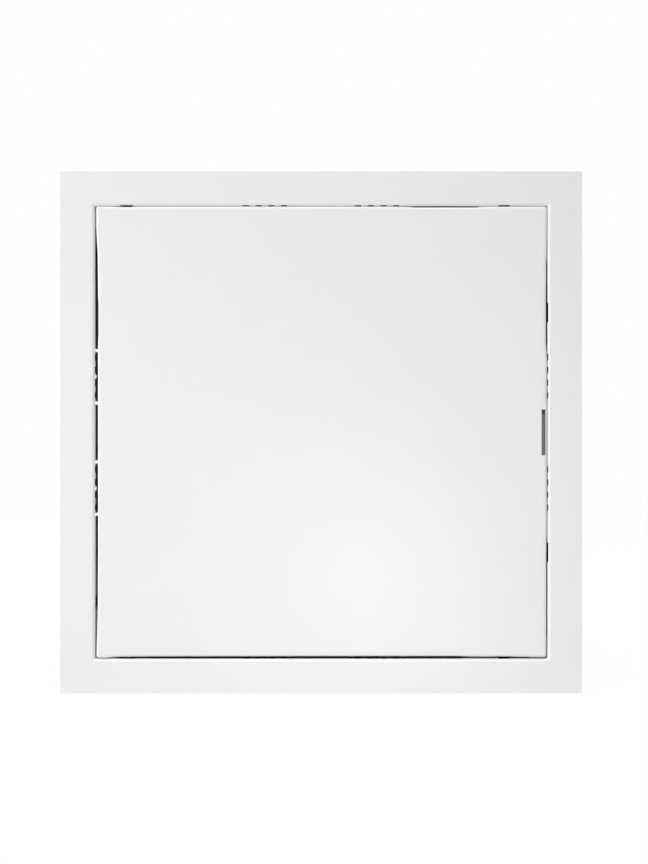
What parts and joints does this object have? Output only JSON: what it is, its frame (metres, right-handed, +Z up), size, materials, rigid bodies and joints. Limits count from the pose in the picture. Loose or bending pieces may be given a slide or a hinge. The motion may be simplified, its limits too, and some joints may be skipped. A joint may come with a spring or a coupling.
{
  "type": "access panel",
  "caption": "Square flush access panel: folded white sheet-steel door on hidden pivots in a flanged frame, opened by a sliding edge latch worked with a tool.",
  "frame": {"origin": "middle of the panel, in the plane of the wall face, which is the rear of the frame's flange", "axes": "+X to the right as seen from the room, +Z up, +Y into the wall, so the face looks along -Y"},
  "size_m": [0.348, 0.03, 0.348],
  "materials": {
    "white_enamel": "white powder coat on the face of phosphated sheet steel, satin, with a fine orange peel; the back keeps the dark grey phosphate",
    "zinc_steel": "dull zinc plating on pressed steel",
    "pin_steel": "bright drawn steel, zinc plated",
    "stud_steel": "coppered weld studs, partly under paint",
    "spring_steel": "oil-darkened spring steel",
    "black_nylon": "black moulded nylon",
    "black_foam": "black self-adhesive foam strip",
    "black_rubber": "black rubber pads"
  },
  "bodies": {
    "frame": {"frame_top_rail": "white_enamel", "frame_bottom_rail": "white_enamel", "frame_hinge_rail": "white_enamel", "frame_latch_rail": "white_enamel", "seal_tape": "black_foam", "door_seal": "black_foam", "stop_pads": "black_rubber", "upper_pivot_bush": "black_nylon", "lower_pivot_bush": "black_nylon", "bush_retainers": "spring_steel"},
    "door": {"door_panel": "white_enamel", "upper_pivot_bracket": "zinc_steel", "lower_pivot_bracket": "zinc_steel", "bracket_studs": "stud_steel", "bracket_nuts": "zinc_steel", "lower_pivot_pin": "pin_steel", "pin_spring": "spring_steel", "latch_studs": "stud_steel", "latch_washers": "zinc_steel", "latch_nuts": "zinc_steel"},
    "upper_pin": {"upper_pivot_pin": "pin_steel", "pin_clip": "spring_steel", "spring_washer": "zinc_steel"},
    "latch": {"latch_slider": "zinc_steel", "tool_insert": "black_nylon"}
  },
  "joints": [
    {"name": "door_hinge", "type": "hinge", "parent": "frame", "child": "door", "pos_m": [-0.13, 0.0057, 0], "axis": [0, 0, -1], "range_deg": [0, 115]},
    {"name": "upper_pin_slide", "type": "slide", "parent": "door", "child": "upper_pin", "axis": [0, 0, -1], "range_m": [0, 0.0058], "stiffness_N_per_m": 250, "springref_m": -0.01, "deforming": ["pin_spring"]},
    {"name": "latch_slide", "type": "slide", "parent": "door", "child": "latch", "axis": [0, 0, -1], "range_m": [0, 0.01]}
  ]
}
